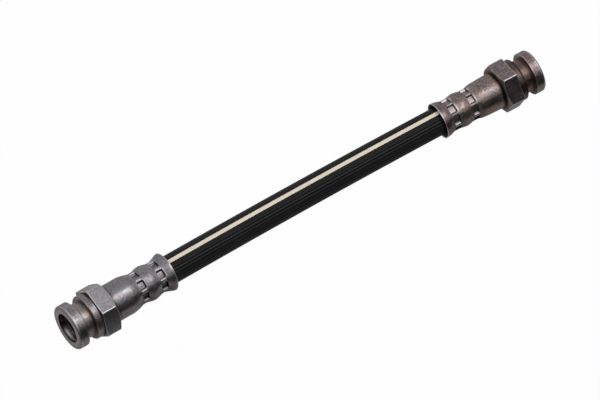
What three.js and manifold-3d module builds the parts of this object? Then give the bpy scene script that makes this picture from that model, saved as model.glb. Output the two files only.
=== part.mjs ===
// A short hydraulic brake hose with a threaded socket fitting crimped on each end.
// Millimetres, +Z up. The hose runs along X and lies with a slight bow, as a used hose does.
// Every fitting size is measured along its axis from the tip, the open end of the port.
// A clock angle is measured round the hose axis from -Y, going up toward +Z.

import * as THREE from 'three';
import { mergeVertices } from 'three/addons/utils/BufferGeometryUtils.js';
import Module from 'manifold-3d';

const wasm = await Module();
wasm.setup();

// Hose
const freeLength = 115.5;
const bowAngle = 11.9;
const bowClock = 43.7;
const boreDiameter = 3.2;
const linerWall = 0.7;
const braidWall = 0.35;
const cushionWall = 0.3;
const coverDiameter = 10.3;
const stripeWidth = 1.5;
const stripeThickness = 0.3;
const stripeClock = 82;
const stripeReach = 2;

// Tip flange, clip groove and collar of a fitting
const flangeDiameter = 16.3;
const flangeThickness = 3.5;
const flangeEdge = 0.5;
const grooveDiameter = 12.8;
const grooveWidth = 3.75;
const collarDiameter = 16.1;
const collarThickness = 2.1;
const collarEdge = 0.35;
const reliefDiameter = 14.6;
const reliefWidth = 0.55;

// Hexagon
const hexAcrossFlats = 17;
const hexLength = 6.2;
const hexChamferAngle = 30;
const hexChamferInset = 0.25;
const nearHexClock = 42;
const farHexClock = 60;

// Shell, crimped on the hose in two bands by eight jaws
const shellWall = 1.53;
const barrelLength = 7.9;
const firstCrimpRun = 12.3;
const crimpPitch = 7.9;
const crimpPocketDepth = 1.5;
const crimpRidgeHeight = 0.55;
const crimpBulgeDrop = 0.3;
const crimpPocketWidth = 2.6;
const crimpSlopeWidth = 1.2;
const crimpSqueeze = 0.55;
const crimpJaws = 8;
const crimpRidgeShare = 0.22;
const nearCrimpClock = 34.5;
const farCrimpClock = 0;
const mouthRun = 4.45;
const mouthFlare = 1.28;
const mouthLip = 0.5;
const mouthFlareDepth = 2;

// Port at the minor diameter of its M10 x 1 thread: a plain lead-in, the hole, a cone at its bottom
const portDiameter = 8.9;
const portSinkDiameter = 10.8;
const portSinkDepth = 2;
const portSinkCone = 0.9;
const portDepth = 9.5;
const portConeDepth = 2;

// Insert that is pressed through the web and reaches into the hose
const socketInset = 0.9;
const insertShankDiameter = 5;
const insertCollarDiameter = 7.4;
const insertCollarThickness = 1;
const insertBore = 2;
const insertSetBack = 2.25;
const insertLead = 0.6;
const insertSink = 1;

// Clearances between pieces
const layerGap = 0.06;
const pressGap = 0.06;
const shellGap = 0.12;
const endGap = 0.3;
const stripeGap = 0.06;

// Fineness of the round shapes
const sides = 32;
const coreSides = 16;
const hoseSteps = 12;
const stripeSteps = 24;
const stripeSides = 3;

const hoseHalf = freeLength / 2;
const collarStart = flangeThickness + grooveWidth;
const reliefStart = collarStart + collarThickness;
const hexStart = reliefStart + reliefWidth;
const hexEnd = hexStart + hexLength;
const coverRadius = coverDiameter / 2;
const shellBoreRadius = coverRadius + shellGap;
const shellRadius = shellBoreRadius + shellWall;
const crimpBulgeRadius = shellRadius - crimpBulgeDrop;
const crimpPocketRadius = shellRadius - crimpPocketDepth;
const crimpRidgeRadius = crimpPocketRadius + crimpRidgeHeight;
const crimpCentre = hexEnd + firstCrimpRun;
const secondCrimpCentre = crimpCentre + crimpPitch;
const mouthDepth = secondCrimpCentre + mouthRun;
const mouthBoreRadius = shellBoreRadius + mouthFlare;
const webEnd = hexEnd + socketInset;
const insertReach = mouthDepth - insertSetBack;
const hoseReach = mouthDepth - webEnd - insertCollarThickness - 2 * endGap;

const steel = new THREE.MeshStandardMaterial({ color: 0x6f6c70, roughness: 0.42, metalness: 0.85 });
const insertSteel = new THREE.MeshStandardMaterial({ color: 0x8d8f94, roughness: 0.35, metalness: 0.9 });
const rubber = new THREE.MeshStandardMaterial({ color: 0x1c1b1d, roughness: 0.6, metalness: 0 });
const linerRubber = new THREE.MeshStandardMaterial({ color: 0x2a2a2c, roughness: 0.7, metalness: 0 });
const yarn = new THREE.MeshStandardMaterial({ color: 0xd9d3c4, roughness: 0.9, metalness: 0 });
const stripeRubber = new THREE.MeshStandardMaterial({ color: 0xe2d3c1, roughness: 0.65, metalness: 0 });

function radians(degrees) {
  return THREE.MathUtils.degToRad(degrees);
}

// The direction, square to the hose axis, that a clock angle points to
function clockDirection(clock) {
  return new THREE.Vector3(0, -Math.cos(radians(clock)), Math.sin(radians(clock)));
}

const bowDirection = clockDirection(bowClock);
const bowAxis = new THREE.Vector3(1, 0, 0).cross(bowDirection);
const bowRadius = freeLength / radians(bowAngle);

// Where the hose axis is, and how far it has turned, at a distance along it from its middle
function hoseStation(along) {
  const onArc = THREE.MathUtils.clamp(along, -hoseHalf, hoseHalf);
  const turn = onArc / bowRadius;
  const tangent = new THREE.Vector3(1, 0, 0).applyAxisAngle(bowAxis, turn);
  const point = new THREE.Vector3(bowRadius * Math.sin(turn), 0, 0);
  point.addScaledVector(bowDirection, bowRadius * (1 - Math.cos(turn)));
  point.addScaledVector(tangent, along - onArc);
  return { point, turn };
}

// Lays a straight shape, drawn along X, on the bowed hose axis
function bowed(geometry) {
  const position = geometry.attributes.position;
  for (let i = 0; i < position.count; i += 1) {
    const station = hoseStation(position.getX(i));
    const vertex = new THREE.Vector3(0, position.getY(i), position.getZ(i));
    vertex.applyAxisAngle(bowAxis, station.turn).add(station.point);
    position.setXYZ(i, vertex.x, vertex.y, vertex.z);
  }
  return geometry;
}

// Turns a profile of [along X, radius] points round the X axis
function turned(profile, segments) {
  const points = profile.map(([along, radius]) => new THREE.Vector2(radius, along));
  const geometry = new THREE.LatheGeometry(points, segments);
  return geometry.rotateZ(-Math.PI / 2);
}

// One manifold solid from a closed geometry
function solid(geometry) {
  const bare = geometry.clone();
  bare.deleteAttribute('normal');
  bare.deleteAttribute('uv');
  const merged = mergeVertices(bare, 1e-4);
  const mesh = new wasm.Mesh({
    numProp: 3,
    vertProperties: new Float32Array(merged.attributes.position.array),
    triVerts: new Uint32Array(merged.index.array),
  });
  return new wasm.Manifold(mesh);
}

function geometryOf(manifold) {
  const mesh = manifold.getMesh();
  const geometry = new THREE.BufferGeometry();
  geometry.setAttribute('position', new THREE.BufferAttribute(mesh.vertProperties, 3));
  geometry.setIndex(new THREE.BufferAttribute(mesh.triVerts, 1));
  geometry.computeVertexNormals();
  return geometry;
}

function piece(name, geometry, material) {
  const mesh = new THREE.Mesh(geometry, material);
  mesh.name = name;
  return mesh;
}

// Profile points where one crimp band squeezes a wall from one radius to another
function crimpBand(centre, outerBefore, inner, outerAfter) {
  const flat = crimpPocketWidth / 2;
  const edge = flat + crimpSlopeWidth;
  return [
    [centre - edge, outerBefore],
    [centre - flat, inner],
    [centre + flat, inner],
    [centre + edge, outerAfter],
  ];
}

// Outside of the fitting without its hexagon
function bodyProfile() {
  const flangeRadius = flangeDiameter / 2;
  const collarRadius = collarDiameter / 2;
  return [
    [0, 0],
    [0, flangeRadius - flangeEdge],
    [flangeEdge, flangeRadius],
    [flangeThickness, flangeRadius],
    [flangeThickness, grooveDiameter / 2],
    [collarStart, grooveDiameter / 2],
    [collarStart, collarRadius - collarEdge],
    [collarStart + collarEdge, collarRadius],
    [reliefStart, collarRadius],
    [reliefStart, reliefDiameter / 2],
    [hexStart, reliefDiameter / 2],
    [hexEnd, shellRadius],
    [hexEnd + barrelLength, shellRadius],
    ...crimpBand(crimpCentre, crimpBulgeRadius, crimpPocketRadius, crimpBulgeRadius),
    ...crimpBand(secondCrimpCentre, crimpBulgeRadius, crimpPocketRadius, crimpBulgeRadius),
    [mouthDepth, mouthBoreRadius + mouthLip],
    [mouthDepth, 0],
  ];
}

// Raises the ridges that the gaps between the crimp jaws leave standing
function withCrimpRidges(geometry, clock) {
  const position = geometry.attributes.position;
  for (let i = 0; i < position.count; i += 1) {
    const along = position.getX(i);
    const y = position.getY(i);
    const z = position.getZ(i);
    const radius = Math.hypot(y, z);
    const nearest = Math.min(Math.abs(along - crimpCentre), Math.abs(along - secondCrimpCentre));
    const inBand = nearest < crimpPocketWidth / 2 + crimpSlopeWidth / 2;
    const angle = THREE.MathUtils.radToDeg(Math.atan2(z, -y)) - clock;
    const share = THREE.MathUtils.euclideanModulo(angle * crimpJaws / 360 + 0.5, 1) - 0.5;
    if (inBand && radius > crimpPocketRadius / 2 && Math.abs(share) < crimpRidgeShare) {
      const grow = crimpRidgeRadius / radius;
      position.setXYZ(i, along, y * grow, z * grow);
    }
  }
  return geometry;
}

// Hexagon with a turned chamfer on the side toward the hose
function hexSolid(clock) {
  const cornerRadius = hexAcrossFlats / Math.sqrt(3);
  const prism = new THREE.CylinderGeometry(cornerRadius, cornerRadius, hexLength, 6);
  prism.rotateZ(-Math.PI / 2);
  prism.translate(hexStart + hexLength / 2, 0, 0);
  // a corner of the cylinder lies on +Z before it is clocked
  prism.rotateX(radians(90 - clock));
  const chamferRadius = hexAcrossFlats / 2 - hexChamferInset;
  const chamferRun = (cornerRadius - chamferRadius) * Math.tan(radians(hexChamferAngle));
  const chamfer = turned([
    [hexStart - hexLength, 0],
    [hexStart - hexLength, cornerRadius + hexLength / Math.tan(radians(hexChamferAngle))],
    [hexEnd - chamferRun, cornerRadius],
    [hexEnd, chamferRadius],
    [hexEnd, 0],
  ], sides);
  return solid(prism).intersect(solid(chamfer));
}

// Everything that is hollow in the fitting: port, cone, insert hole and hose socket
function hollowProfile() {
  const portRadius = portDiameter / 2;
  const sinkRadius = portSinkDiameter / 2;
  const shankHole = insertShankDiameter / 2 + pressGap;
  return [
    [-endGap, 0],
    [-endGap, sinkRadius],
    [portSinkDepth, sinkRadius],
    [portSinkDepth + portSinkCone, portRadius],
    [portDepth - portConeDepth, portRadius],
    [portDepth, shankHole],
    [webEnd, shankHole],
    [webEnd, shellBoreRadius],
    ...crimpBand(crimpCentre, shellBoreRadius, shellBoreRadius - crimpSqueeze, shellBoreRadius),
    ...crimpBand(secondCrimpCentre, shellBoreRadius, shellBoreRadius - crimpSqueeze, shellBoreRadius),
    [mouthDepth - mouthFlareDepth, shellBoreRadius],
    [mouthDepth, mouthBoreRadius],
    [mouthDepth + endGap, mouthBoreRadius],
    [mouthDepth + endGap, 0],
  ];
}

function fittingBody(hexClock, crimpClock) {
  const outside = withCrimpRidges(turned(bodyProfile(), sides), crimpClock);
  const whole = solid(outside).add(hexSolid(hexClock));
  return geometryOf(whole.subtract(solid(turned(hollowProfile(), sides))));
}

// Tube with a shank pressed into the web, a collar against it and a spigot inside the hose
function insertNipple() {
  const shank = insertShankDiameter / 2;
  const spigot = boreDiameter / 2 - pressGap;
  const collarAt = webEnd + endGap;
  const bore = insertBore / 2;
  return turned([
    [portDepth + insertSink, bore],
    [portDepth + insertSink, shank],
    [collarAt, shank],
    [collarAt, insertCollarDiameter / 2],
    [collarAt + insertCollarThickness, insertCollarDiameter / 2],
    [collarAt + insertCollarThickness, spigot],
    [insertReach - insertLead, spigot],
    [insertReach, (spigot + bore) / 2],
    [insertReach, bore],
    [portDepth + insertSink, bore],
  ], coreSides);
}

// Stations along a hose layer: close ends in the fittings and even steps along the free hose
function hoseStations() {
  const even = [];
  for (let i = 0; i <= hoseSteps; i += 1) {
    even.push(-hoseHalf + freeLength * i / hoseSteps);
  }
  return [-hoseHalf - hoseReach, ...even, hoseHalf + hoseReach];
}

// Plain round layer of the hose between two radii
function hoseLayer(innerRadius, outerRadius) {
  const stations = hoseStations();
  const outside = stations.map((along) => [along, outerRadius]);
  const inside = stations.map((along) => [along, innerRadius]).reverse();
  return bowed(turned([...outside, ...inside, outside[0]], coreSides));
}

// Cover stations in one fitting, squeezed where the shell is, from the mouth inward
function squeezedCover() {
  const radius = coverRadius;
  const squeezed = coverRadius - crimpSqueeze;
  const bands = [
    ...crimpBand(crimpCentre, radius, squeezed, radius),
    ...crimpBand(secondCrimpCentre, radius, squeezed, radius),
  ];
  return bands.map(([fromTip, r]) => [hoseHalf + mouthDepth - fromTip, r]);
}

// Rubber cover with the slot that the stripe lies in
function hoseCover(innerRadius) {
  const stations = hoseStations();
  const right = squeezedCover().reverse();
  const left = squeezedCover().map(([along, radius]) => [-along, radius]);
  const free = stations.slice(1, -1).map((along) => [along, coverRadius]);
  const outside = [
    [stations[0], coverRadius],
    ...left,
    ...free,
    ...right,
    [stations[stations.length - 1], coverRadius],
  ];
  const inside = stations.map((along) => [along, innerRadius]).reverse();
  const tube = bowed(turned([...outside, ...inside, outside[0]], sides));
  const slotDepth = stripeThickness + stripeGap;
  const slotWidth = stripeWidth + 2 * stripeGap;
  const slotReach = hoseHalf + stripeReach + endGap;
  const slot = stripGeometry(coverRadius - slotDepth, coverRadius + slotDepth, slotWidth, slotReach);
  return geometryOf(solid(tube).subtract(solid(slot)));
}

// Strip along the hose with a section that follows the round of the cover
function stripGeometry(innerRadius, outerRadius, width, reach) {
  const halfAngle = width / coverDiameter;
  const section = new THREE.Shape();
  for (let i = 0; i <= stripeSides; i += 1) {
    const angle = -halfAngle + 2 * halfAngle * i / stripeSides;
    const x = outerRadius * Math.sin(angle);
    const y = outerRadius * Math.cos(angle);
    if (i === 0) {
      section.moveTo(x, y);
    } else {
      section.lineTo(x, y);
    }
  }
  for (let i = stripeSides; i >= 0; i -= 1) {
    const angle = -halfAngle + 2 * halfAngle * i / stripeSides;
    section.lineTo(innerRadius * Math.sin(angle), innerRadius * Math.cos(angle));
  }
  const strip = new THREE.ExtrudeGeometry(section, {
    depth: 2 * reach,
    steps: stripeSteps,
    bevelEnabled: false,
  });
  strip.translate(0, 0, -reach);
  // the section's up side goes to +Z and the run to X, then the strip is clocked
  strip.rotateX(Math.PI / 2);
  strip.rotateZ(Math.PI / 2);
  strip.rotateX(radians(90 - stripeClock));
  return bowed(strip);
}

// One end: a group at the end of the bowed axis, holding the fitting body and its insert.
// side is -1 for the end at -X and 1 for the end at +X.
function hoseEnd(letter, side, hexClock, crimpClock) {
  const station = hoseStation(side * hoseHalf);
  const end = new THREE.Group();
  end.position.copy(station.point);
  end.quaternion.setFromAxisAngle(bowAxis, station.turn);
  const seat = new THREE.Group();
  seat.position.x = side * mouthDepth;
  // the +X fitting is the same part turned to face the other way
  const facing = side > 0 ? Math.PI : 0;
  seat.rotation.z = facing;
  const localHexClock = side > 0 ? 180 - hexClock : hexClock;
  const localCrimpClock = side > 0 ? 180 - crimpClock : crimpClock;
  seat.add(piece(`fitting_body_${letter}`, fittingBody(localHexClock, localCrimpClock), steel));
  seat.add(piece(`insert_nipple_${letter}`, insertNipple(), insertSteel));
  end.add(seat);
  return end;
}

// The hose, from its bore outward
function hose() {
  const group = new THREE.Group();
  const layers = [
    ['hose_liner', linerWall, linerRubber],
    ['inner_braid', braidWall, yarn],
    ['cushion_layer', cushionWall, linerRubber],
    ['outer_braid', braidWall, yarn],
  ];
  let radius = boreDiameter / 2;
  for (const [name, wall, material] of layers) {
    group.add(piece(name, hoseLayer(radius, radius + wall), material));
    radius += wall + layerGap;
  }
  group.add(piece('hose_cover', hoseCover(radius), rubber));
  const stripeBottom = coverRadius - stripeThickness;
  const stripe = stripGeometry(stripeBottom, coverRadius, stripeWidth, hoseHalf + stripeReach);
  group.add(piece('identification_stripe', stripe, stripeRubber));
  return group;
}

const brakeHose = new THREE.Group();
brakeHose.add(hose());
brakeHose.add(hoseEnd('a', -1, nearHexClock, nearCrimpClock));
brakeHose.add(hoseEnd('b', 1, farHexClock, farCrimpClock));

// The part stands on Z = 0 with the middle of its outline over the origin
brakeHose.updateMatrixWorld(true);
const outline = new THREE.Box3().setFromObject(brakeHose, true);
const middle = outline.getCenter(new THREE.Vector3());
brakeHose.position.set(-middle.x, -middle.y, -outline.min.z);

export default brakeHose;
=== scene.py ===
import math

import bpy
import numpy as np
from mathutils import Matrix, Vector


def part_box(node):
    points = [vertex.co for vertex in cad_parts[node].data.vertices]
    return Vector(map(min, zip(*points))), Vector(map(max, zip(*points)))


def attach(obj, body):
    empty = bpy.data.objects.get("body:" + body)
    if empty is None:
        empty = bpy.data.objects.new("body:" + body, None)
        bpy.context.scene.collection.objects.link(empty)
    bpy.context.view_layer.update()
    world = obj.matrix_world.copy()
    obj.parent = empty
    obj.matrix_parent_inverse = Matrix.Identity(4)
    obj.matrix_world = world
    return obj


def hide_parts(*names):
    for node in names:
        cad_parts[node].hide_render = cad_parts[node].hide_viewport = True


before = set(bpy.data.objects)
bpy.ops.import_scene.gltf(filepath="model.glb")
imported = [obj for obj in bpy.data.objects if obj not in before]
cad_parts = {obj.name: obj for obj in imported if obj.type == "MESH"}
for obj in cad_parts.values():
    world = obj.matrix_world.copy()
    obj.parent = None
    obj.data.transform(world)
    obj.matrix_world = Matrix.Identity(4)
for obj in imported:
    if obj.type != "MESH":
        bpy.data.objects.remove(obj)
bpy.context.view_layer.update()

MM = 0.001

# The view
IMAGE_WIDTH = 600
CAMERA_AZIMUTH = -29.6
CAMERA_ELEVATION = 47.55
CAMERA_ROLL = -6.24
CAMERA_DISTANCE = 811.6 * MM
SENSOR_WIDTH = 36.0
LENS = 138.96
MIDDLE_RIGHT_OF_CENTRE = 2.6
MIDDLE_ABOVE_CENTRE = 5.1

# Hose
FREE_LENGTH = 115.5 * MM
BOW_ANGLE = math.radians(11.9)
BOW_CLOCK = 43.7
LINER_RADIUS = 2.3 * MM
COVER_INNER_RADIUS = 3.54 * MM
COVER_RADIUS = 5.17 * MM
RIB_COUNT = 30
RIB_DEPTH = 0.15 * MM
RIB_CLOCK = 53.8
COVER_COLUMNS = 360
COVER_STEP = 1.6 * MM
COVER_STEPS_IN_SHELL = 23
COVER_SQUEEZE = 0.6 * MM
COVER_SQUEEZE_HALF = 1.6 * MM
COVER_SQUEEZE_RAMP = 1.0 * MM
COVER_END_GAP = 0.3 * MM
STRIPE_CLOCK = 82
STRIPE_WIDTH = 1.5 * MM
STRIPE_THICKNESS = 0.3 * MM
STRIPE_REACH = 2 * MM
STRIPE_GAP = 0.05 * MM
STRIPE_LAND_ANGLE = 2.0
STRIPE_LAND_DROP = 0.04 * MM
STRIPE_PROUD = 0.01 * MM
STRIPE_EDGE_DROP = 0.05 * MM
STRIPE_FOOT_SHARE = 0.9
STRIPE_COLUMNS = 12

# Fitting, measured along its axis from the tip
FLANGE_RADIUS = 8.15 * MM
FLANGE_END = 3.5 * MM
FLANGE_EDGE = 0.5 * MM
FLANGE_EDGE_DROP = 0.35 * MM
GROOVE_RADIUS = 6.4 * MM
COLLAR_START = 7.25 * MM
COLLAR_RADIUS = 8.05 * MM
COLLAR_EDGE = 0.35 * MM
COLLAR_END = 9.65 * MM
RELIEF_RADIUS = 7.3 * MM
HEX_START = 9.9 * MM
HEX_END = 16.1 * MM
HEX_FLAT_RADIUS = 8.5 * MM
HEX_CORNER_CAP = 9.75 * MM
HEX_CHAMFER_RADIUS = 8.25 * MM
HEX_CHAMFER_SLOPE = math.tan(math.radians(30))
HEX_EDGE = 0.14 * MM
CRIMP_CENTRES = (28.4 * MM, 36.3 * MM)
CRIMP_VALLEY_RADIUS_MM = 5.95
CRIMP_FLOOR_RADIUS = 5.02 * MM
CRIMP_FLOOR_FLATNESS = 0.72
CRIMP_FLOOR_HALF = 1.2 * MM
CRIMP_WALL = 0.3 * MM
CRIMP_CORNER = 0.13 * MM
CRIMP_CORNER_ANGLE = 4.0
CRIMP_JAWS = 8
CRIMP_FLANK = 4.0
CRIMP_CREST = 0.20 * MM
CRIMP_DENT = 0.16 * MM
CRIMP_DENT_REACH = 1.3 * MM
WEAR_REACH = 2.0
MOUTH_END = 40.75 * MM
LIP_THICKNESS = 0.35 * MM
SHELL_BORE_RADIUS = 5.3 * MM
SHELL_SQUEEZE = 0.55 * MM
SHELL_SQUEEZE_END = 1.8 * MM
DRIFT_AT = np.array([24.0, 28.4, 36.3, 40.75]) * MM
SHELL_DRIFT = {-1: np.zeros(4), 1: np.array([0.0, -0.4, -0.4, 0.25]) * MM}
ROOT_REACH = 1.8 * MM
SHADE_REACH = 2.5 * MM
RIM_REACH = 0.55 * MM
WEB_END = 17 * MM
FITTING_COLUMNS = 360

# Port with its thread
SINK_RADIUS = 5.4 * MM
SINK_END = 2.8 * MM
SINK_EDGE = 0.12 * MM
# Depth and reach of a painted highlight on the countersink's low side.
SINK_HIGHLIGHT_AT = 1.2 * MM
SINK_HIGHLIGHT_REACH = 0.5 * MM
THREAD_MINOR_RADIUS = 4.45 * MM
SINK_PROFILE = (
    (0.6 * MM, SINK_RADIUS),
    (1.2 * MM, 5.2 * MM),
    (2.2 * MM, 4.9 * MM),
    (SINK_END, THREAD_MINOR_RADIUS),
)
THREAD_DEPTH = 0.5 * MM
THREAD_PITCH = 1.0 * MM
THREAD_STEPS_PER_TURN = 6
PORT_CONE_START = 7.5 * MM
PORT_END = 9.5 * MM
SHANK_HOLE_RADIUS = 2.56 * MM

# Insert
INSERT_START = 10.5 * MM
INSERT_SHANK_RADIUS = 2.5 * MM
INSERT_COLLAR_START = 17.3 * MM
INSERT_COLLAR_END = 18.3 * MM
INSERT_COLLAR_RADIUS = 3.7 * MM
INSERT_SPIGOT_RADIUS = 1.54 * MM
INSERT_END = 38.5 * MM
INSERT_BORE_RADIUS = 1.0 * MM
INSERT_EDGE = 0.15 * MM
INSERT_COLUMNS = 96

PROFILE_STEP = 2.0 * MM

# Colours
# Near black, mixed in as painted shade in recesses, corners, mark walls and undersides.
PAINTED_SHADE = (0.012, 0.010, 0.010, 1.0)
YARN_SHADE = (0.30, 0.27, 0.22, 1.0)
YARN_LIGHT = (0.72, 0.68, 0.58, 1.0)
CREAM = (0.90, 0.79, 0.66, 1.0)
CREAM_DIRTY = (0.82, 0.71, 0.59, 1.0)
FLOOR_GREY = (0.5, 0.5, 0.5, 1.0)
WHITE = (1.0, 1.0, 1.0, 1.0)

HALF = FREE_LENGTH / 2
BOW_RADIUS = FREE_LENGTH / BOW_ANGLE


def clock_direction(clock):
    """Unit vector square to the hose axis at a clock angle, counted from -Y up toward +Z."""
    angle = math.radians(clock)
    return np.array([0.0, -math.cos(angle), math.sin(angle)])


BOW_DIRECTION = clock_direction(BOW_CLOCK)


def hose_middle():
    """The middle of the hose axis, from where the frame holds the round liner."""
    low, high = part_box("hose_liner")
    return np.array([0.0, high[1] - LINER_RADIUS, low[2] + LINER_RADIUS])


HOSE_MIDDLE = hose_middle()


def bowed(points):
    """Lays points drawn on a straight axis along X on the bowed axis of the hose."""
    points = np.asarray(points, dtype=float)
    along = points[..., 0]
    on_arc = np.clip(along, -HALF, HALF)
    turn = on_arc / BOW_RADIUS
    cos = np.cos(turn)
    sin = np.sin(turn)
    side = points[..., 1] * BOW_DIRECTION[1] + points[..., 2] * BOW_DIRECTION[2]
    lift = BOW_RADIUS * (1 - cos) + (along - on_arc) * sin + side * (cos - 1)
    out = np.empty_like(points)
    out[..., 0] = BOW_RADIUS * sin + (along - on_arc) * cos - side * sin
    out[..., 1] = points[..., 1] + lift * BOW_DIRECTION[1]
    out[..., 2] = points[..., 2] + lift * BOW_DIRECTION[2]
    return out + HOSE_MIDDLE


def end_points(along, radius, clocks, side):
    """Points of an end fitting from distance to its tip, radius and clock angles in degrees."""
    angle = np.radians(clocks)
    drift = np.interp(along, DRIFT_AT, SHELL_DRIFT[side])
    x = side * (HALF + MOUTH_END - along - drift)
    points = np.stack([x + 0 * angle, -radius * np.cos(angle), radius * np.sin(angle)], axis=-1)
    return bowed(points)


def placed(name, data):
    """Puts a new object that holds the given mesh, camera or lamp into the scene."""
    item = bpy.data.objects.new(name, data)
    bpy.context.scene.collection.objects.link(item)
    return item


def ring_mesh(name, rows, material, attributes=None, flip=False):
    """A closed solid whose rows of points are rings, the last ring joined to the first."""
    rows = np.asarray(rows)
    count, columns, _ = rows.shape
    vertices = rows.reshape(-1, 3)
    i = np.arange(count)[:, None]
    j = np.arange(columns)[None, :]
    next_i = (i + 1) % count
    next_j = (j + 1) % columns
    corners = [i * columns + j, next_i * columns + j, next_i * columns + next_j, i * columns + next_j]
    faces = np.stack(corners, axis=-1).reshape(-1, 4)
    if flip:
        faces = faces[:, ::-1]
    mesh = bpy.data.meshes.new(name)
    mesh.from_pydata(vertices.tolist(), [], faces.tolist())
    for label, values in (attributes or {}).items():
        layer = mesh.attributes.new(label, "FLOAT", "POINT")
        layer.data.foreach_set("value", np.asarray(values, dtype=np.float32).reshape(-1))
    mesh.polygons.foreach_set("use_smooth", [True] * len(mesh.polygons))
    mesh.materials.append(material)
    mesh.update()
    return placed(name, mesh)


def smooth_step(value):
    """0 up to 0 and 1 from 1 on, with an even S curve between."""
    value = np.clip(value, 0.0, 1.0)
    return value * value * (3 - 2 * value)


# Materials

class Nodes:
    """A short way to build a node tree: each call adds one node and links what it is given."""

    def __init__(self, name):
        self.material = bpy.data.materials.new(name)
        self.material.use_nodes = True
        self.tree = self.material.node_tree
        self.tree.nodes.clear()
        self.output = self.tree.nodes.new("ShaderNodeOutputMaterial")

    def link(self, source, target):
        """Joins an output to an input."""
        self.tree.links.new(source, target)

    def add(self, kind, settings=None, **inputs):
        """Adds a node. An input is given by its name, or by its number as in _0."""
        node = self.tree.nodes.new(kind)
        for key, value in (settings or {}).items():
            setattr(node, key, value)
        for key, value in inputs.items():
            label = int(key[1:]) if key[1:].isdigit() else key.replace("_", " ")
            self.feed(node.inputs[label], value)
        return node

    def feed(self, socket, value):
        """Links another node's output to an input, or sets the input to a plain value."""
        if isinstance(value, bpy.types.NodeSocket):
            self.link(value, socket)
        else:
            socket.default_value = value

    def attribute(self, name):
        """A value that the mesh holds at each of its points."""
        return self.add("ShaderNodeAttribute", {"attribute_name": name}).outputs["Fac"]

    def place(self):
        """The place on the object, in metres."""
        return self.add("ShaderNodeTexCoord").outputs["Object"]

    def noise(self, scale, detail, roughness):
        """Cloudy noise over the object."""
        node = self.add("ShaderNodeTexNoise", Scale=scale, Detail=detail, Roughness=roughness)
        self.link(self.place(), node.inputs["Vector"])
        return node.outputs["Fac"]

    def math(self, operation, a, b=0.0, clamp=False):
        """One sum on two values."""
        settings = {"operation": operation, "use_clamp": clamp}
        return self.add("ShaderNodeMath", settings, _0=a, _1=b).outputs[0]

    def spread(self, value, low, high, to_low=0.0, to_high=1.0):
        """Stretches the range from low to high over another one and holds it there."""
        node = self.add("ShaderNodeMapRange", {"clamp": True}, Value=value)
        node.inputs["From Min"].default_value = low
        node.inputs["From Max"].default_value = high
        node.inputs["To Min"].default_value = to_low
        node.inputs["To Max"].default_value = to_high
        return node.outputs["Result"]

    def mix(self, factor, a, b):
        """Goes from colour a to colour b as the factor goes from 0 to 1."""
        node = self.add("ShaderNodeMix", {"data_type": "RGBA"})
        pairs = (("Factor_Float", factor), ("A_Color", a), ("B_Color", b))
        for identifier, value in pairs:
            self.feed(next(s for s in node.inputs if s.identifier == identifier), value)
        return next(s for s in node.outputs if s.identifier == "Result_Color")

    def bump(self, height, distance, strength, normal=None):
        """Fine relief, on top of another one if it is given."""
        node = self.add("ShaderNodeBump", Strength=strength, Distance=distance, Height=height)
        if normal:
            self.link(normal, node.inputs["Normal"])
        return node.outputs["Normal"]

    def finish(self, shader):
        """Makes the shader the material's surface."""
        self.link(shader, self.output.inputs["Surface"])
        return self.material


def shaded(colour, factor):
    """The same colour made darker or lighter by a factor."""
    return tuple(factor * c for c in colour[:3]) + (1.0,)


def steel_material(name, base, stain, wear_and_sheen, stain_amount, mottle):
    """Dark plated steel: mottled, stained brown in its corners, worn bright on its edges, with
    painted highlights and painted shade.
    """
    n = Nodes(name)
    cloud = n.noise(260.0, 5.0, 0.6)
    speck = n.noise(1500.0, 3.0, 0.6)
    tone = n.mix(n.spread(cloud, 0.35, 0.65), base, shaded(base, 0.72))
    tone = n.mix(n.spread(speck, 0.45, 0.7, 0.0, mottle), tone, shaded(base, 2.0))
    blotch = n.noise(420.0, 4.0, 0.65)
    stained = n.math("MULTIPLY", n.spread(blotch, 0.38, 0.68), n.attribute("stain"))
    flecks = n.noise(1100.0, 3.0, 0.7)
    stained = n.math("ADD", stained, n.spread(flecks, 0.48, 0.68, 0.0, stain_amount), clamp=True)
    tone = n.mix(stained, tone, stain)
    # Lighter on worn edges and on painted highlights.
    brightened = n.math("MULTIPLY", n.attribute("wear_and_sheen"), n.spread(cloud, 0.3, 0.6, 0.6, 1.0))
    tone = n.mix(brightened, tone, wear_and_sheen)
    # Painted shade: the tone goes toward near black in recesses, corners, mark walls and undersides.
    tone = n.mix(n.math("MULTIPLY", n.attribute("painted_shade"), 0.85), tone, PAINTED_SHADE)
    roughness = n.spread(cloud, 0.3, 0.7, 0.27, 0.40)
    roughness = n.math("ADD", roughness, n.math("MULTIPLY", stained, 0.1))
    grain = n.noise(7000.0, 2.0, 0.5)
    turning = n.add("ShaderNodeTexWave", {"wave_type": "BANDS"}, Scale=1.0, Distortion=0.0)
    rings = n.add("ShaderNodeCombineXYZ", X=n.math("MULTIPLY", n.attribute("along"), 1400.0))
    n.link(rings.outputs[0], turning.inputs["Vector"])
    normal = n.bump(grain, 0.000007, 0.4)
    normal = n.bump(turning.outputs["Fac"], 0.000003, 0.3, normal)
    metallic = n.math("SUBTRACT", 1.0, n.math("MULTIPLY", stained, 0.2))
    shader = n.add(
        "ShaderNodeBsdfPrincipled",
        Metallic=metallic, Roughness=roughness, Base_Color=tone, Normal=normal)
    return n.finish(shader.outputs[0])


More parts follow.
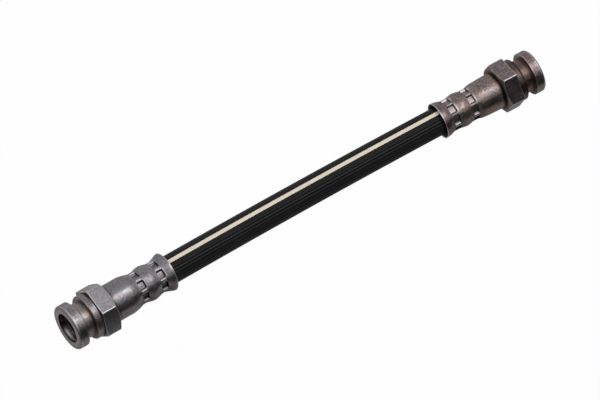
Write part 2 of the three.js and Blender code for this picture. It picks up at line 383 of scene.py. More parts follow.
def rubber_material(name, colour, roughness_low, roughness_high):
    """Satin rubber with a faint bloom and fine grain."""
    n = Nodes(name)
    cloud = n.noise(180.0, 4.0, 0.6)
    tone = n.mix(n.spread(cloud, 0.4, 0.75), colour, shaded(colour, 1.7))
    grain = n.noise(4200.0, 2.0, 0.6)
    normal = n.bump(grain, 0.00001, 0.3)
    roughness = n.spread(cloud, 0.3, 0.7, roughness_low, roughness_high)
    shader = n.add("ShaderNodeBsdfPrincipled", Roughness=roughness, Base_Color=tone, Normal=normal)
    shader.inputs["Specular IOR Level"].default_value = 0.12
    return n.finish(shader.outputs[0])


def braid_material():
    """Off-white yarn laid crosswise in two directions."""
    n = Nodes("braid_yarn")
    place = n.add("ShaderNodeSeparateXYZ", Vector=n.place())
    along = n.math("MULTIPLY", place.outputs["X"], 2400.0)
    around = n.math("MULTIPLY", n.math("ARCTAN2", place.outputs["Y"], place.outputs["Z"]), 12.0)
    one = n.math("SINE", n.math("ADD", along, around))
    other = n.math("SINE", n.math("SUBTRACT", along, around))
    weave = n.math("MAXIMUM", one, other)
    tone = n.mix(n.spread(weave, -0.4, 1.0), YARN_SHADE, YARN_LIGHT)
    normal = n.bump(weave, 0.00008, 0.6)
    shader = n.add("ShaderNodeBsdfPrincipled", Roughness=0.9, Base_Color=tone, Normal=normal)
    return n.finish(shader.outputs[0])


def stripe_material():
    """Matt cream rubber, a little dirty."""
    n = Nodes("stripe_rubber")
    cloud = n.noise(300.0, 4.0, 0.6)
    tone = n.mix(n.spread(cloud, 0.35, 0.7), CREAM, CREAM_DIRTY)
    normal = n.bump(n.noise(4000.0, 2.0, 0.6), 0.00001, 0.3)
    shader = n.add("ShaderNodeBsdfPrincipled", Roughness=0.65, Base_Color=tone, Normal=normal)
    return n.finish(shader.outputs[0])


STEEL_A = steel_material(
    "fitting_steel_near",
    base=(0.195, 0.191, 0.207, 1.0),
    stain=(0.22, 0.132, 0.090, 1.0),
    wear_and_sheen=(0.50, 0.49, 0.52, 1.0),
    stain_amount=0.18,
    mottle=0.55)
STEEL_B = steel_material(
    "fitting_steel_far",
    base=(0.146, 0.128, 0.134, 1.0),
    stain=(0.28, 0.145, 0.092, 1.0),
    wear_and_sheen=(0.50, 0.47, 0.49, 1.0),
    stain_amount=0.6,
    mottle=1.0)
INSERT_STEEL = steel_material(
    "insert_steel",
    base=(0.25, 0.25, 0.26, 1.0),
    stain=(0.12, 0.08, 0.06, 1.0),
    wear_and_sheen=(0.45, 0.45, 0.45, 1.0),
    stain_amount=0.05,
    mottle=0.4)
COVER_RUBBER = rubber_material("cover_rubber", (0.0064, 0.0062, 0.0074, 1.0), 0.28, 0.38)
LINER_RUBBER = rubber_material("liner_rubber", (0.012, 0.012, 0.013, 1.0), 0.6, 0.75)
BRAID_YARN = braid_material()
STRIPE_RUBBER = stripe_material()


# Shapes of the fitting

def hex_radius(clocks, hex_clock):
    """Radius of the hexagon at each clock angle, with its corners slightly rounded."""
    from_flat = (np.asarray(clocks) - hex_clock) % 60 - 30
    return np.minimum(HEX_FLAT_RADIUS / np.cos(np.radians(from_flat)), HEX_CORNER_CAP)


def shell_wave(along, shoulder, mouth):
    """Radius of the crimped shell before the jaws' flat marks, smooth between a few stations.

    The stations, their radii, and the radii called shoulder and mouth are in millimetres.
    """
    valley = CRIMP_VALLEY_RADIUS_MM
    outline = (
        (16.1, shoulder[0]), (21.0, (shoulder[0] + shoulder[1]) / 2), (24.0, shoulder[1]),
        (25.6, 6.46), (27.0, valley + 0.17), (28.4, valley), (29.8, valley + 0.10),
        (31.0, 6.30), (32.35, 6.47), (33.7, 6.30),
        (35.0, valley + 0.10), (36.3, valley - 0.02), (37.6, valley + 0.17),
        (39.0, 6.58), (40.2, mouth - 0.08), (40.75, mouth))
    stations, radii = np.array(outline).T
    slopes = np.gradient(radii, stations)
    x = np.clip(along / MM, stations[0], stations[-1])
    k = int(np.clip(np.searchsorted(stations, x) - 1, 0, len(stations) - 2))
    h = stations[k + 1] - stations[k]
    t = (x - stations[k]) / h
    value = (
        (2 * t**3 - 3 * t**2 + 1) * radii[k]
        + (t**3 - 2 * t**2 + t) * h * slopes[k]
        + (3 * t**2 - 2 * t**3) * radii[k + 1]
        + (t**3 - t**2) * h * slopes[k + 1])
    return float(value) * MM


def from_crimp(along):
    """Distance along the axis to the middle of the nearest row of crimp marks."""
    return min(abs(along - centre) for centre in CRIMP_CENTRES)


def from_ridge(clocks, crimp_clock):
    """Angle to the nearest ridge left standing between two jaws."""
    pitch = 360 / CRIMP_JAWS
    return np.abs((np.asarray(clocks) - crimp_clock + pitch / 2) % pitch - pitch / 2)


def on_tip_rim(along):
    """1 on the rim of the crimp marks that faces the tip, where a painted highlight is laid."""
    rims = (centre - CRIMP_FLOOR_HALF - CRIMP_WALL for centre in CRIMP_CENTRES)
    return sum(math.exp(-((along - rim) / RIM_REACH) ** 2) for rim in rims)


def in_crimp(along, half):
    """1 inside a row of crimp marks of the given half length and 0 past the walls at its ends."""
    return smooth_step((half + CRIMP_WALL / 2 - from_crimp(along)) / CRIMP_WALL)


def rounded_corner(before, corner, after, steps=3):
    """Points that round one corner of a profile; wear, painted highlight and painted shade stay close
    to it, stain spreads.
    """
    x, r, size, wear_and_sheen, stain, painted_shade = corner
    middle = np.array([x, r])
    back = np.array(before[:2]) - middle
    ahead = np.array(after[:2]) - middle
    back_length = np.linalg.norm(back)
    ahead_length = np.linalg.norm(ahead)
    back = back / back_length
    ahead = ahead / ahead_length
    points = []
    guard = middle + back * min(WEAR_REACH * size, 0.45 * back_length)
    points.append((guard[0], guard[1], 0.0, stain, 0.6 * painted_shade))
    for i in range(steps + 1):
        t = i / steps
        point = middle + size * ((1 - t) ** 2 * back + t**2 * ahead)
        points.append((point[0], point[1], wear_and_sheen, stain, painted_shade))
    guard = middle + ahead * min(WEAR_REACH * size, 0.45 * ahead_length)
    points.append((guard[0], guard[1], 0.0, stain, 0.6 * painted_shade))
    return points


def rounded_profile(corners):
    """A profile through (along, radius, rounding, wear and painted highlight, stain, painted shade)
    corners, with them rounded.
    """
    out = []
    for i, corner in enumerate(corners):
        if corner[2] > 0 and 0 < i < len(corners) - 1:
            out += rounded_corner(corners[i - 1], corner, corners[i + 1])
        else:
            x, r, _, wear_and_sheen, stain, painted_shade = corner
            out.append((x, r, wear_and_sheen, stain, painted_shade))
    return out


def refined(profile, longest):
    """Adds even points so that no step of a profile is longer than the given length."""
    out = []
    for start, end in zip(profile, profile[1:]):
        pieces = max(1, math.ceil(math.hypot(end[0] - start[0], end[1] - start[1]) / longest))
        for k in range(pieces):
            t = k / pieces
            out.append(tuple(a + (b - a) * t for a, b in zip(start, end)))
    out.append(profile[-1])
    return out


def tip_corners(age):
    """Outside of the fitting from the port's mouth to the start of the hexagon.

    Age goes from 0, a clean fitting, to 1, one that is stained brown and darker with painted shade.
    """
    edge_radius = FLANGE_RADIUS - FLANGE_EDGE_DROP
    collar_edge_radius = COLLAR_RADIUS - COLLAR_EDGE
    collar_stain = 0.1 + 0.8 * age
    # Painted shade in the groove, the relief and on the collar, deeper on the aged fitting.
    aged_shade = 0.6 * age
    collar_shade = 0.12 + 1.2 * age
    corner_shade = 0.6 + 0.3 * age
    # Each corner: along, radius, rounding, wear and painted highlight, stain, painted shade.
    return [
        (0.0, SINK_RADIUS + SINK_EDGE, 0.0, 0.5, 0.7, 0.1),
        (0.0, (SINK_RADIUS + edge_radius) / 2, 0.0, 0.48, 1.6, 0.0),
        (0.0, edge_radius, 0.12 * MM, 0.2, 1.8, 0.0),
        (FLANGE_EDGE, FLANGE_RADIUS, 0.20 * MM, 0.5 + 0.2 * age, 0.1, 0.08),
        (FLANGE_END, FLANGE_RADIUS, 0.18 * MM, 0.5, 0.2, 0.0),
        (FLANGE_END, GROOVE_RADIUS, 0.15 * MM, 0.0, 1.0, corner_shade),
        (FLANGE_END + 0.6 * MM, GROOVE_RADIUS, 0.0, 0.0, 1.0, 0.3 + aged_shade),
        (FLANGE_END + 1.4 * MM, GROOVE_RADIUS, 0.0, 0.15 * (1 - age), 1.2 + 0.4 * age, aged_shade),
        (COLLAR_START, GROOVE_RADIUS, 0.15 * MM, 0.0, 1.0, corner_shade),
        (COLLAR_START, collar_edge_radius, 0.10 * MM, 0.1, 0.5 + collar_stain, 0.0),
        (COLLAR_START + COLLAR_EDGE, COLLAR_RADIUS, 0.18 * MM, 0.15, collar_stain, collar_shade),
        (COLLAR_END, COLLAR_RADIUS, 0.10 * MM, 0.3, 1.0, collar_shade),
        (COLLAR_END, RELIEF_RADIUS, 0.05 * MM, 0.0, 1.2, 0.3 + aged_shade),
        (HEX_START, RELIEF_RADIUS, 0.05 * MM, 0.0, 1.2, 0.3 + aged_shade),
        (HEX_START, HEX_FLAT_RADIUS, 0.0, 0.0, 1.2, 0.0),
    ]


def axisymmetric_rows(profile, clocks, side):
    """Rings of a turned profile, with each ring's wear and painted highlight, stain, painted shade
    and place along the axis.
    """
    rows = []
    marks = []
    for along, radius, wear_and_sheen, stain, painted_shade in profile:
        rows.append(end_points(along, np.full(len(clocks), radius), clocks, side))
        marks.append(tuple(np.full(len(clocks), value) for value in (wear_and_sheen, stain, painted_shade, along)))
    return rows, marks


def hexagon_rows(clocks, side, hex_clock, age):
    """Rings over the hexagon: its tip face, its flats, the turned chamfer and the back face."""
    radius = hex_radius(clocks, hex_clock)
    corner = smooth_step((radius - HEX_FLAT_RADIUS * 1.1) / (HEX_CORNER_CAP - HEX_FLAT_RADIUS * 1.1))
    chamfer_start = HEX_END - (radius - HEX_CHAMFER_RADIUS) * HEX_CHAMFER_SLOPE
    corner_wear = np.maximum(0.8 * corner**8, 0.1 * (1 - age))
    flat_stain = -0.6 * age
    # A trace of painted shade on the aged fitting's flats.
    flat_shade = 0.04 * age
    rows = []
    marks = []

    def ring(along, r, wear_and_sheen, stain, painted_shade=0.0):
        rows.append(end_points(along + 0 * radius, r, clocks, side))
        marks.append(tuple(value + 0 * radius for value in (wear_and_sheen, stain, painted_shade, along)))

    for share in (0.25, 0.5, 0.75):
        ring(HEX_START, RELIEF_RADIUS + (radius - HEX_EDGE - RELIEF_RADIUS) * share, 0.0, 1.2)
    ring(HEX_START, radius - HEX_EDGE, 0.6, 0.6)
    for step in (1, 2, 3):
        angle = step / 3 * math.pi / 2
        along = HEX_START + HEX_EDGE * (1 - math.cos(angle))
        ring(along, radius - HEX_EDGE * (1 - math.sin(angle)), 1.0, 0.0)
    side_start = HEX_START + HEX_EDGE
    for share in np.linspace(0.04, 0.97, 14):
        along = side_start + (chamfer_start - side_start) * share
        ring(along, radius, corner_wear, flat_stain, flat_shade)
    ring(chamfer_start - 0.04 * MM, radius, np.maximum(corner_wear, 0.55), 0.0)
    ring(chamfer_start + 0.06 * MM, radius - 0.08 * MM, 0.6, 0.0)
    for share in (0.3, 0.6, 0.93):
        along = chamfer_start + (HEX_END - chamfer_start) * share
        ring(along, radius + (HEX_CHAMFER_RADIUS - radius) * share, 0.0, 1.0 + 0.3 * share)
    # Painted shade on the ring where the back face meets the barrel.
    ring(HEX_END, HEX_CHAMFER_RADIUS - 0.08 * MM, 0.0, 0.9, 0.3)
    return rows, marks


def shell_stations():
    """Places along the axis of the rings of the shell, close together at the walls of the marks."""
    stations = [HEX_END, HEX_END + 0.05 * MM, HEX_END + 0.3 * MM]
    stations += list(np.arange(17.0, 26.4, 0.6) * MM)
    stations += list(np.arange(30.6, 34.3, 0.4) * MM)
    stations += list(np.arange(38.5, 40.45, 0.25) * MM)
    wall = CRIMP_FLOOR_HALF + np.linspace(-0.5, 0.5, 7) * CRIMP_WALL
    outside = CRIMP_FLOOR_HALF + np.array([0.3, 0.5, 0.75]) * MM
    inside = np.array([0.35, 0.7, 0.88, 0.94, 1.0]) * MM
    offsets = np.concatenate([inside, wall, outside])
    for centre in CRIMP_CENTRES:
        stations += list(centre - offsets) + [centre] + list(centre + offsets)
    return sorted(stations)


def shell_rows(clocks, side, crimp, shoulder, mouth, age):
    """Rings over the barrel and the crimped shell up to its lip.

    The crimp is the clock angle, half the angle and the radius in millimetres of its ridges.
    """
    crimp_clock, ridge_half, ridge_radius = crimp
    ridge_angle = from_ridge(clocks, crimp_clock)
    pocket_angle = 180 / CRIMP_JAWS - ridge_angle
    floor = CRIMP_FLOOR_RADIUS / np.cos(np.radians(CRIMP_FLOOR_FLATNESS * pocket_angle))
    crest = smooth_step(1 - ridge_angle / ridge_half)
    ridge = ridge_radius * MM + CRIMP_CREST * crest
    on_floor = smooth_step((ridge_angle - ridge_half + CRIMP_FLANK / 2) / CRIMP_FLANK)
    pressed = ridge * (1 - on_floor) + floor * on_floor
    facet = np.cos(np.radians(pocket_angle * CRIMP_JAWS / 2)) ** 2
    corner = smooth_step(1 - (ridge_angle - ridge_half) / CRIMP_CORNER_ANGLE)
    mark_half = CRIMP_FLOOR_HALF - CRIMP_CORNER * corner
    height = np.sin(np.radians(clocks))
    underside = smooth_step((0.3 - height) / 0.7)
    sheltered = smooth_step((0.65 - height) / 0.6)
    rear = smooth_step(-2 * np.cos(np.radians(clocks)))
    # Painted highlight on ridges that face down or away, with a little wear on the clean fitting's
    # ridges.
    ridge_wear_and_sheen = 0.1 * (1 - age) + 1.3 * sheltered + (0.3 + 0.5 * age) * rear
    rows = []
    marks = []
    for along in shell_stations():
        band = in_crimp(along, mark_half)
        past_mark = max(0.0, from_crimp(along) - CRIMP_FLOOR_HALF)
        dent = CRIMP_DENT * math.exp(-(past_mark / CRIMP_DENT_REACH) ** 2)
        base = shell_wave(along, shoulder, mouth) - dent * facet
        beside = math.exp(-(past_mark / SHADE_REACH) ** 2)
        root = float(smooth_step(1 - (along - HEX_END) / ROOT_REACH))
        wide_root = float(smooth_step(1 - (along - HEX_END) / (1.6 * ROOT_REACH)))
        # Painted highlights on the aged fitting's pocket floors and on the tip-side rims of marks
        # facing up.
        wear_and_sheen = band * (ridge_wear_and_sheen * (1 - on_floor) + 0.4 * age * on_floor)
        wear_and_sheen = wear_and_sheen + (0.45 + 0.45 * age) * on_tip_rim(along) * facet * (1 - band) * (1 - sheltered)
        # Painted shade at the walls of the marks, in pockets facing down, beside the marks
        # underneath, by the hexagon and toward the mouth.
        mouth_shade = (0.06 + 0.24 * age) * smooth_step((along - CRIMP_CENTRES[1]) / (2 * SHADE_REACH))
        walls = 3.6 * band * (1 - band) * facet
        painted_shade = walls + band * on_floor * (0.3 + 0.35 * sheltered) + beside * underside
        painted_shade = painted_shade + (1 + 0.5 * age) * root + mouth_shade
        # Browner towards the underside; the band by the hexagon is painted shade.
        stain = 0.15 + (0.65 + 0.5 * age) * underside + 0.25 * band * on_floor + 0.6 * wide_root
        rows.append(end_points(along, base * (1 - band) + pressed * band, clocks, side))
        marks.append((wear_and_sheen, stain, painted_shade, along + 0 * crest))
    return rows, marks


def mouth_profile(mouth):
    """The lip, the flare inside it and the socket bore down to the web, darkened inside with painted
    shade.
    """
    outer = mouth * MM
    inner = outer - LIP_THICKNESS
    squeezed = SHELL_BORE_RADIUS - SHELL_SQUEEZE
    outside = [
        (MOUTH_END - 0.10 * MM, outer, 0.8, 0.0, 0.0),
        (MOUTH_END - 0.02 * MM, outer - 0.05 * MM, 1.0, 0.0, 0.0),
        (MOUTH_END, outer - 0.12 * MM, 1.0, 0.0, 0.0),
        (MOUTH_END, inner + 0.06 * MM, 1.0, 0.0, 0.0),
        (MOUTH_END - 0.06 * MM, inner, 0.4, 0.1, 0.3),
    ]
    bore = [
        (MOUTH_END - 0.6 * MM, inner - 0.28 * MM),
        (MOUTH_END - 1.4 * MM, inner - 0.85 * MM),
        (MOUTH_END - 2.2 * MM, SHELL_BORE_RADIUS),
    ]
    for centre in reversed(CRIMP_CENTRES):
        bore += [
            (centre + SHELL_SQUEEZE_END, SHELL_BORE_RADIUS),
            (centre + 1.3 * MM, squeezed),
            (centre - 1.3 * MM, squeezed),
            (centre - 2.5 * MM, SHELL_BORE_RADIUS),
        ]
    bore += [
        (WEB_END, SHELL_BORE_RADIUS),
        (WEB_END, SHANK_HOLE_RADIUS),
        (PORT_END, SHANK_HOLE_RADIUS),
    ]
    return outside + [(along, radius, 0.0, 0.5, 1.0) for along, radius in bore]


def port_rows(clocks, side):
    """Rings of the port from its bottom out: cone, thread and countersink, darkened with painted
    shade and with a painted highlight on the low side.
    """
    rows = []
    marks = []
    step = THREAD_PITCH / THREAD_STEPS_PER_TURN
    turn = np.asarray(clocks) / 360.0
    low_side = smooth_step((-np.sin(np.radians(clocks)) - 0.6) / 0.35)
    depths = [PORT_END, PORT_END - 0.6 * MM, PORT_CONE_START]
    cone = [SHANK_HOLE_RADIUS + 0.1 * MM, SHANK_HOLE_RADIUS + 0.7 * MM, THREAD_MINOR_RADIUS]
    for along, radius in zip(depths, cone):
        rows.append(end_points(along, np.full(len(clocks), radius), clocks, side))
        marks.append((0 * turn, 0.3 + 0 * turn, 1.0 + 0 * turn, along + 0 * turn))
    sink_depths, sink_radii = zip(*SINK_PROFILE)
    along = PORT_CONE_START - step
    while along > step:
        phase = (along / THREAD_PITCH - side * turn) % 1.0
        cut = THREAD_DEPTH * np.clip(1.35 - 2.7 * np.abs(phase - 0.5), 0.0, 1.0)
        fade = smooth_step((PORT_CONE_START - along) / THREAD_PITCH)
        sink = np.interp(along, sink_depths, sink_radii)
        start = smooth_step((along - SINK_END) / THREAD_PITCH)
        radius = np.maximum(THREAD_MINOR_RADIUS + cut * fade * start, sink)
        crest = start * (1 - cut / THREAD_DEPTH)
        rows.append(end_points(along, radius, clocks, side))
        # Painted shade deepening into the port, lighter on the thread crests, and a painted highlight
        # on its low side.
        painted_shade = np.interp(along, (0.0, 0.6 * MM, SINK_END), (0.6, 0.95, 1.0)) - 0.2 * crest
        painted_highlight = 0.8 * low_side * math.exp(-((along - SINK_HIGHLIGHT_AT) / SINK_HIGHLIGHT_REACH) ** 2)
        marks.append((painted_highlight, 0.4 + 0 * turn, painted_shade - painted_highlight, along + 0 * turn))
        along -= step
    rows.append(end_points(SINK_EDGE, np.full(len(clocks), SINK_RADIUS), clocks, side))
    marks.append((0 * turn, 0.4 + 0 * turn, 0.5 + 0 * turn, 0 * turn))
    return rows, marks


def surface_marks(marks):
    """Named values at every point from the (wear and painted highlight, stain, painted shade, along)
    values of each ring.
    """
    names = ("wear_and_sheen", "stain", "painted_shade", "along")
    return {name: [mark[k] for mark in marks] for k, name in enumerate(names)}


def build_fitting(letter, side, hex_clock, crimp, shoulder, mouth, age, material):
    """One end fitting, turned, milled, threaded and crimped, as one closed mesh.

    Shoulder is the radius of the barrel at its two ends and mouth the radius of the lip, both in
    millimetres. Side is -1 or 1, the end of the X axis that the fitting is at.
    """
    clocks = np.arange(FITTING_COLUMNS) * 360.0 / FITTING_COLUMNS
    tip = refined(rounded_profile(tip_corners(age))[:-1], PROFILE_STEP)
    parts = [
        axisymmetric_rows(tip, clocks, side),
        hexagon_rows(clocks, side, hex_clock, age),
        shell_rows(clocks, side, crimp, shoulder, mouth, age),
        axisymmetric_rows(refined(mouth_profile(mouth), PROFILE_STEP), clocks, side),
        port_rows(clocks, side),
    ]
    rows = [row for part_rows, _ in parts for row in part_rows]
    marks = [mark for _, part_marks in parts for mark in part_marks]
    piece = ring_mesh(f"fitting_{letter}", rows, material, surface_marks(marks), flip=side > 0)
    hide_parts(f"fitting_body_{letter}")
    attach(piece, "root")


def build_insert(letter, side):
    """The tube pressed through the web of a fitting and into the hose."""
    clocks = np.arange(INSERT_COLUMNS) * 360.0 / INSERT_COLUMNS
    # Each corner: along, radius, rounding, wear, stain, and painted shade at the bore's ends.
    corners = [
        (INSERT_START, INSERT_BORE_RADIUS, INSERT_EDGE, 0.6, 0.1, 0.3),
        (INSERT_START, INSERT_SHANK_RADIUS, INSERT_EDGE, 0.6, 0.1, 0.3),
        (INSERT_COLLAR_START, INSERT_SHANK_RADIUS, 0.0, 0.0, 0.5, 0.0),
        (INSERT_COLLAR_START, INSERT_COLLAR_RADIUS, INSERT_EDGE, 0.5, 0.1, 0.0),
        (INSERT_COLLAR_END, INSERT_COLLAR_RADIUS, INSERT_EDGE, 0.5, 0.1, 0.0),
        (INSERT_COLLAR_END, INSERT_SPIGOT_RADIUS, 0.0, 0.0, 0.5, 0.0),
        (INSERT_END - 0.6 * MM, INSERT_SPIGOT_RADIUS, 0.0, 0.2, 0.0, 0.0),
        (INSERT_END, INSERT_SPIGOT_RADIUS - 0.3 * MM, INSERT_EDGE, 0.5, 0.0, 0.0),
        (INSERT_END, INSERT_BORE_RADIUS, INSERT_EDGE, 0.3, 0.2, 0.3),
    ]
    profile = refined(rounded_profile(corners), PROFILE_STEP)
    rows, marks = axisymmetric_rows(profile, clocks, side)
    piece = ring_mesh(f"insert_{letter}", rows, INSERT_STEEL, surface_marks(marks), flip=side > 0)
    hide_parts(f"insert_nipple_{letter}")
    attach(piece, "root")


# Hose

def tube_rows(stations, radii_of, clocks):
    """Rings of a tube on the hose axis at the given distances from its middle."""
    angle = np.radians(clocks)
    rows = []
    for along in stations:
        radius = radii_of(along)
        points = np.stack(
            [along + 0 * angle, -radius * np.cos(angle), radius * np.sin(angle)], axis=-1)
        rows.append(bowed(points))
    return rows


def cover_radius(clocks):
    """Radius of the ribbed cover at each clock angle, with the slot that holds the stripe."""
    phase = np.radians((clocks - RIB_CLOCK) * RIB_COUNT)
    ribbed = COVER_RADIUS - RIB_DEPTH * (0.5 - 0.5 * np.cos(phase))
    from_stripe = (clocks - STRIPE_CLOCK + 180) % 360 - 180
    slot_half = math.degrees((STRIPE_WIDTH / 2 + STRIPE_GAP) / COVER_RADIUS)
    slot = COVER_RADIUS - STRIPE_THICKNESS - STRIPE_GAP
    land_half = slot_half + STRIPE_LAND_ANGLE
    land = np.maximum(ribbed, COVER_RADIUS - STRIPE_LAND_DROP)
    radius = np.where(np.abs(from_stripe) < land_half, land, ribbed)
    return np.where(np.abs(from_stripe) < slot_half, slot, radius)


def build_cover():
    """The ribbed rubber cover, squeezed inside the two shells."""
    clocks = np.arange(COVER_COLUMNS) * 360.0 / COVER_COLUMNS
    free = cover_radius(clocks)
    plain = COVER_RADIUS - RIB_DEPTH
    hose_end = HALF + MOUTH_END - INSERT_COLLAR_END - COVER_END_GAP

    def outer_radius(along):
        from_tip = HALF + MOUTH_END - abs(along)
        if from_tip > CRIMP_CENTRES[1] + SHELL_SQUEEZE_END:
            return free
        outside = COVER_SQUEEZE_HALF + COVER_SQUEEZE_RAMP - from_crimp(from_tip)
        inset = COVER_SQUEEZE * float(smooth_step(outside / COVER_SQUEEZE_RAMP))
        return np.minimum(free, plain - inset)

    free_count = math.ceil(FREE_LENGTH / COVER_STEP)
    stations = list(np.linspace(-HALF, HALF, free_count))
    inside = np.arange(1, COVER_STEPS_IN_SHELL + 1) * (hose_end - HALF) / COVER_STEPS_IN_SHELL
    stations = list(-HALF - inside[::-1]) + stations + list(HALF + inside)
    outer = tube_rows(stations, outer_radius, clocks)
    inner = tube_rows(stations[::-1], lambda along: np.full(len(clocks), COVER_INNER_RADIUS), clocks)
    piece = ring_mesh("ribbed_cover", outer + inner, COVER_RUBBER)
    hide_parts("hose_cover")
    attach(piece, "root")
    path = [bowed(np.array([along, 0.0, 0.0])) for along in stations]


def build_stripe():
    """The cream strip, a little proud of its slot in the cover and narrower at its foot."""
    half_angle = math.degrees(STRIPE_WIDTH / 2 / COVER_RADIUS)
    across = np.linspace(-1, 1, STRIPE_COLUMNS)
    top_clocks = STRIPE_CLOCK + half_angle * across
    foot_clocks = STRIPE_CLOCK + STRIPE_FOOT_SHARE * half_angle * across
    top = COVER_RADIUS + STRIPE_PROUD - STRIPE_EDGE_DROP * across**6
    bottom = np.full(STRIPE_COLUMNS, COVER_RADIUS - STRIPE_THICKNESS)
    loop_clocks = np.concatenate([top_clocks, foot_clocks[::-1]])
    loop_radius = np.concatenate([top, bottom])
    reach = HALF + STRIPE_REACH
    stations = np.linspace(-reach, reach, math.ceil(2 * reach / COVER_STEP))
    rows = np.array(tube_rows(stations, lambda along: loop_radius, loop_clocks))
    count, columns, _ = rows.shape
    faces = []
    for i in range(count - 1):
        for j in range(columns):
            k = (j + 1) % columns
            a = i * columns
            b = a + columns
            faces.append((a + j, b + j, b + k, a + k))
    faces.append(tuple(range(columns)))
    faces.append(tuple((count - 1) * columns + j for j in range(columns))[::-1])
    mesh = bpy.data.meshes.new("cream_stripe")
    mesh.from_pydata(rows.reshape(-1, 3).tolist(), [], faces)
    mesh.polygons.foreach_set("use_smooth", [True] * len(mesh.polygons))
    mesh.set_sharp_from_angle(angle=math.radians(35))
    mesh.materials.append(STRIPE_RUBBER)
    piece = placed("cream_stripe", mesh)
    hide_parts("identification_stripe")
    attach(piece, "root")


def dress_inner_layers():
    """The layers inside the cover keep their solids and get their finish."""
    finishes = {
        "hose_liner": LINER_RUBBER,
        "inner_braid": BRAID_YARN,
        "cushion_layer": LINER_RUBBER,
        "outer_braid": BRAID_YARN,
    }
    for node, material in finishes.items():
        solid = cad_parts[node]
        solid.data.materials.clear()
        solid.data.materials.append(material)


# Camera, floor and light

def build_camera():
    """The camera at the photograph's viewing angle, aimed at the middle of the hose."""
    azimuth = math.radians(CAMERA_AZIMUTH)
    elevation = math.radians(CAMERA_ELEVATION)
    back = Vector((
        math.sin(azimuth) * math.cos(elevation),
        -math.cos(azimuth) * math.cos(elevation),
        math.sin(elevation)))
    right = Vector((0, 0, 1)).cross(back).normalized()
    up = back.cross(right)
    turn = Matrix.Rotation(math.radians(CAMERA_ROLL), 3, "Z")
    basis = Matrix((right, up, back)).transposed() @ turn
    data = bpy.data.cameras.new("camera")
    data.sensor_width = SENSOR_WIDTH
    data.lens = LENS
    data.shift_x = -MIDDLE_RIGHT_OF_CENTRE / IMAGE_WIDTH
    data.shift_y = -MIDDLE_ABOVE_CENTRE / IMAGE_WIDTH
    data.clip_start = 0.01
    camera = placed("camera", data)
    place = Vector(HOSE_MIDDLE) + back * CAMERA_DISTANCE
    camera.matrix_world = Matrix.Translation(place) @ basis.to_4x4()
    bpy.context.scene.camera = camera


def build_floor():
    """A floor that is seen as white with a trace of shadow, and that is grey to the object."""
    size = 3.0
    mesh = bpy.data.meshes.new("floor")
    corners = [(-size, -size, 0), (size, -size, 0), (size, size, 0), (-size, size, 0)]
    mesh.from_pydata(corners, [], [(0, 1, 2, 3)])
    n = Nodes("floor")
    plain = n.add("ShaderNodeBsdfDiffuse", Color=FLOOR_GREY)
    glow = n.add("ShaderNodeEmission", Color=WHITE, Strength=1.0)
    path = n.add("ShaderNodeLightPath")
    reflected = n.math("MULTIPLY", path.outputs["Is Glossy Ray"], 0.25)
    passed = n.math("MULTIPLY", path.outputs["Is Transmission Ray"], 0.25)
    share = n.math("MULTIPLY", path.outputs["Is Camera Ray"], 0.985)
    share = n.math("MAXIMUM", share, n.math("MAXIMUM", reflected, passed))
    mixed = n.add("ShaderNodeMixShader", _0=share, _1=plain.outputs[0], _2=glow.outputs[0])
    mesh.materials.append(n.finish(mixed.outputs[0]))
    floor = placed("floor", mesh)


def build_world():
    """A plain pale world, at full strength where it is seen or mirrored and at half as a light."""
    world = bpy.data.worlds.new("world")
    world.use_nodes = True
    tree = world.node_tree
    tree.nodes.clear()
    output = tree.nodes.new("ShaderNodeOutputWorld")
    seen = tree.nodes.new("ShaderNodeBackground")
    seen.inputs["Strength"].default_value = 1.0
    light = tree.nodes.new("ShaderNodeBackground")
    light.inputs["Strength"].default_value = 0.5
    path = tree.nodes.new("ShaderNodeLightPath")
    shiny = tree.nodes.new("ShaderNodeMath")
    shiny.operation = "MAXIMUM"
    tree.links.new(path.outputs["Is Glossy Ray"], shiny.inputs[0])
    tree.links.new(path.outputs["Is Transmission Ray"], shiny.inputs[1])
    direct = tree.nodes.new("ShaderNodeMath")
    direct.operation = "MAXIMUM"
    tree.links.new(path.outputs["Is Camera Ray"], direct.inputs[0])
    tree.links.new(shiny.outputs[0], direct.inputs[1])
    mix = tree.nodes.new("ShaderNodeMixShader")
    tree.links.new(direct.outputs[0], mix.inputs[0])
    tree.links.new(light.outputs[0], mix.inputs[1])
    tree.links.new(seen.outputs[0], mix.inputs[2])
    tree.links.new(mix.outputs[0], output.inputs["Surface"])
    bpy.context.scene.world = world


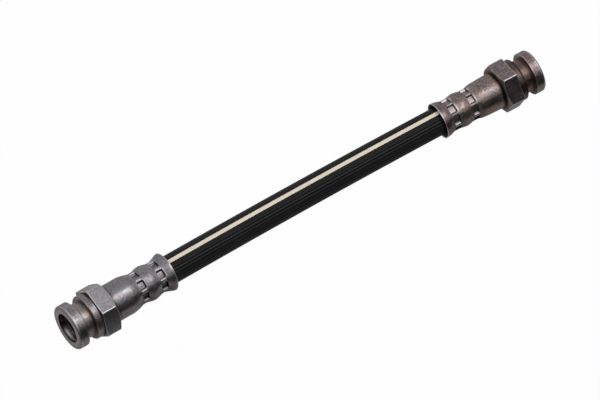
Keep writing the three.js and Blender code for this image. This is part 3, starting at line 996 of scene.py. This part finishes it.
def area_light(name, place, target, width, height, power):
    """A soft rectangular lamp that faces its target."""
    data = bpy.data.lights.new(name, "AREA")
    data.shape = "RECTANGLE"
    data.size = width
    data.size_y = height
    data.energy = power
    lamp = placed(name, data)
    direction = Vector(target) - Vector(place)
    turn = direction.to_track_quat("-Z", "Y").to_matrix().to_4x4()
    lamp.matrix_world = Matrix.Translation(place) @ turn


def build_card(name, toward, near, far, top, shade):
    """A matt card that rises away from the object, seen only in its reflections."""
    half_width = 0.75
    across = Vector((-toward[1], toward[0], 0.0)) * half_width
    foot = Vector(toward) * near + Vector((0.0, 0.0, 2 * MM))
    head = Vector(toward) * far + Vector((0.0, 0.0, top))
    corners = [foot - across, foot + across, head + across, head - across]
    mesh = bpy.data.meshes.new(name)
    mesh.from_pydata([tuple(corner) for corner in corners], [], [(0, 1, 2, 3)])
    n = Nodes(name)
    matt = n.add("ShaderNodeBsdfDiffuse", Color=(shade, shade, shade, 1.0))
    mesh.materials.append(n.finish(matt.outputs[0]))
    card = placed(name, mesh)
    card.visible_camera = False
    card.visible_shadow = False


def build_lights():
    """A wide lamp overhead, toward the viewer, and a small one at the left."""
    area_light("overhead", (0.165, -0.28, 0.68), (0.1, 0.0, 0.0), 0.73, 0.36, 2.74)
    area_light("left", (-0.5, 0.15, 0.75), (0.0, 0.0, 0.0), 0.25, 0.25, 0.6)


build_camera()
build_cover()
build_stripe()
build_fitting(
    "a", side=-1, hex_clock=42, crimp=(31.0, 8.5, 5.95), shoulder=(6.78, 6.74), mouth=7.08,
    age=0.0, material=STEEL_A)
build_fitting(
    "b", side=1, hex_clock=60, crimp=(-2.0, 7.5, 5.85), shoulder=(6.90, 6.60), mouth=6.85,
    age=1.0, material=STEEL_B)
build_insert("a", -1)
build_insert("b", 1)
dress_inner_layers()
build_floor()
build_world()
build_card("front_card", (0.0, -1.0, 0.0), 0.020, 0.6, 0.30, 0.05)
build_card("left_card", (-1.0, 0.0, 0.0), 0.5, 0.8, 0.30, 0.06)
build_card("right_card", (1.0, 0.0, 0.0), 0.5, 0.8, 0.30, 0.06)
build_lights()

bpy.context.scene.view_settings.view_transform = "Standard"
